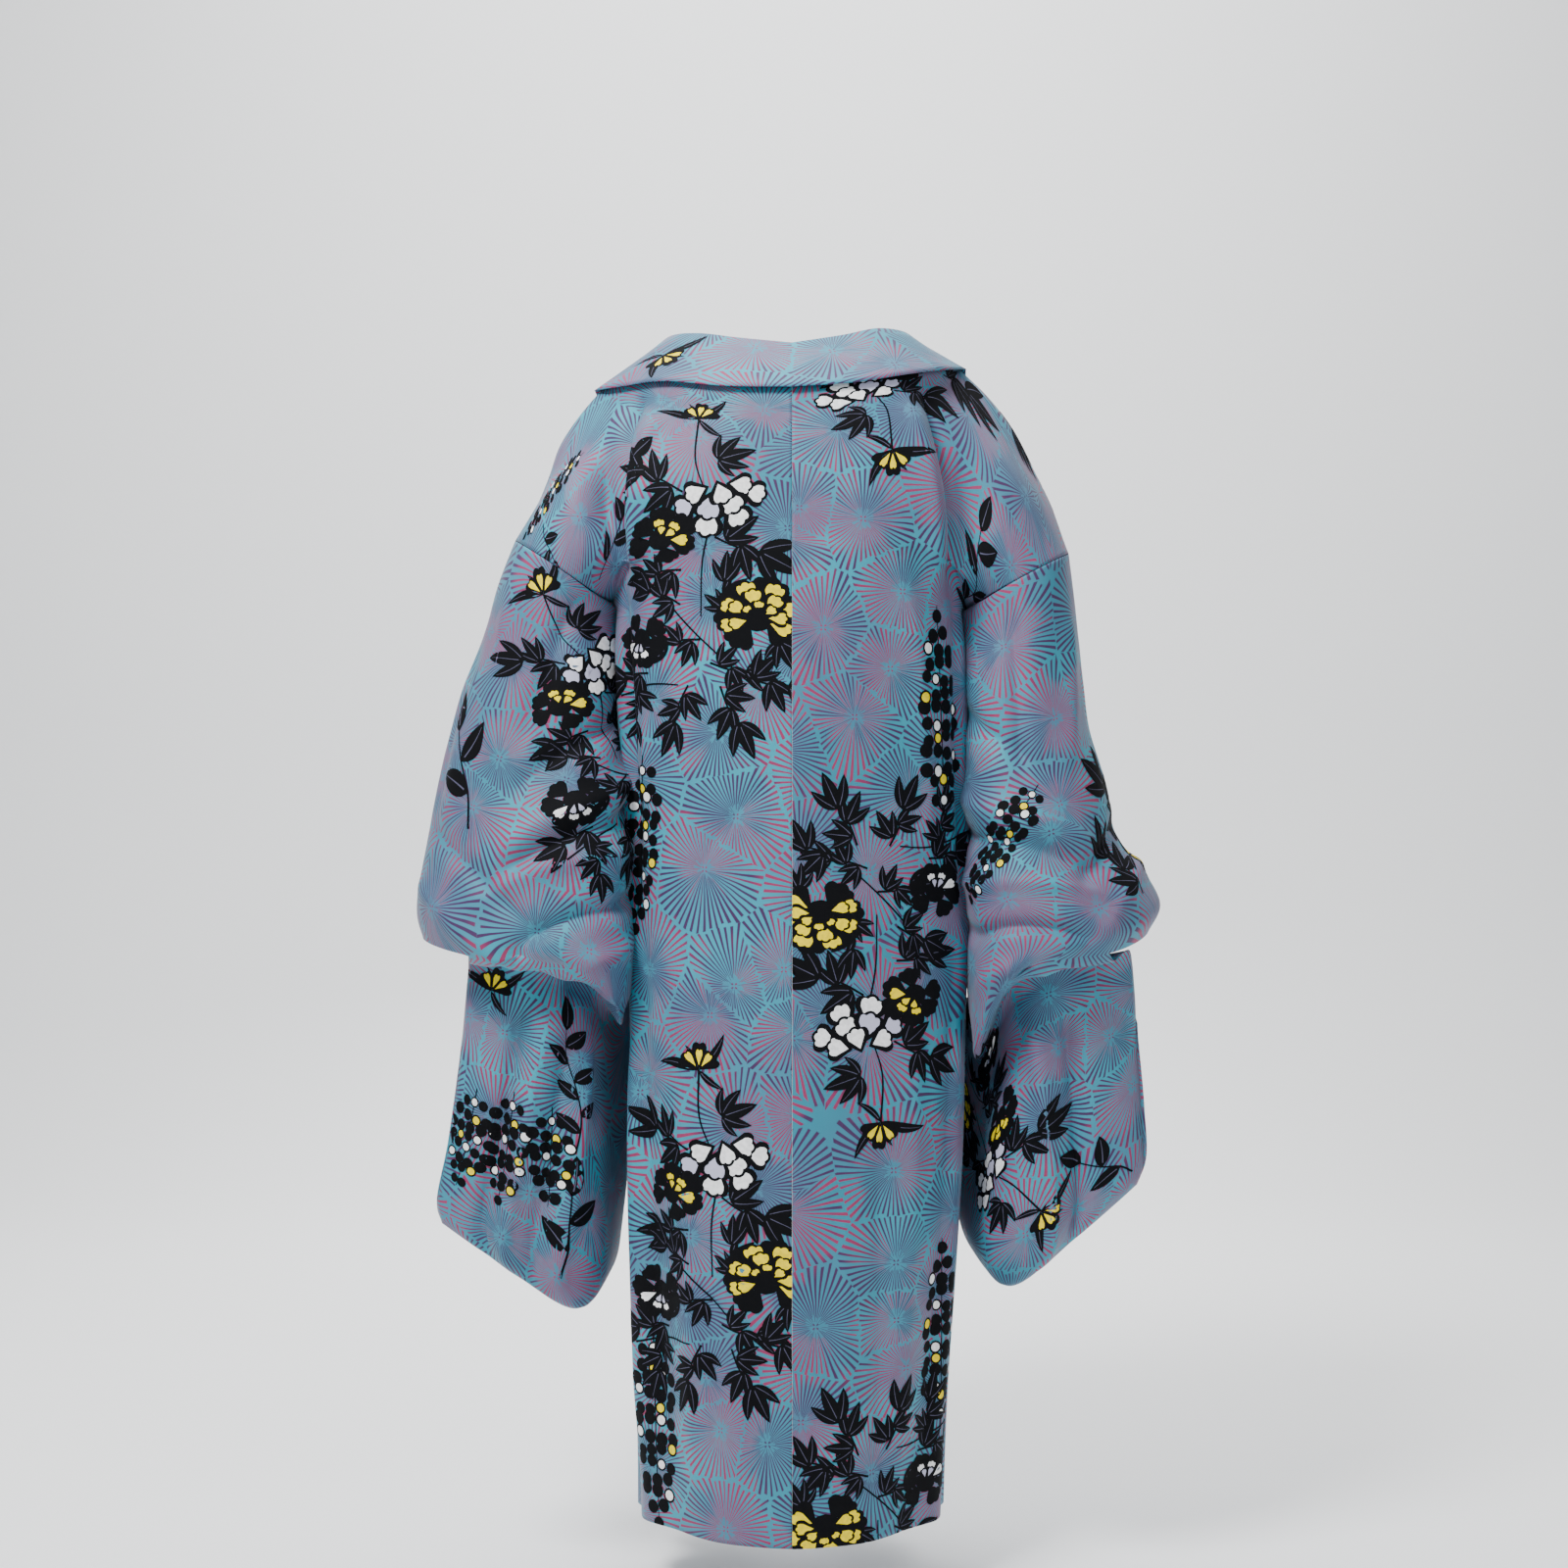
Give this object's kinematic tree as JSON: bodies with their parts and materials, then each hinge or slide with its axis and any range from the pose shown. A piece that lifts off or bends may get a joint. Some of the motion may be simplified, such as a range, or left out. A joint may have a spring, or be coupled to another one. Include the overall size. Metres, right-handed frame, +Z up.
{
  "type": "haori jacket",
  "caption": "Long open-fronted over-robe in east asian dress, worn form, with deep bag sleeves, narrow side gussets and a turned-back strip collar.",
  "frame": {"origin": "midway between the shoulders at the height where the garment lies on them, where it is held", "axes": "+Z up along the garment, +X to the wearer's left, -Y out of the open front"},
  "size_m": [0.68, 0.2839, 1.0725],
  "materials": {
    "body": "matte silk crepe, turquoise and slate ground with printed sprays",
    "sleeve": "the same printed silk crepe",
    "gusset": "the same printed silk crepe",
    "collar": "the same printed silk crepe, folded in two"
  },
  "bodies": {
    "root": {"body_left": "body", "body_right": "body", "sleeve_left": "sleeve", "sleeve_right": "sleeve", "gusset_left": "gusset", "gusset_right": "gusset", "collar": "collar"}
  },
  "joints": []
}
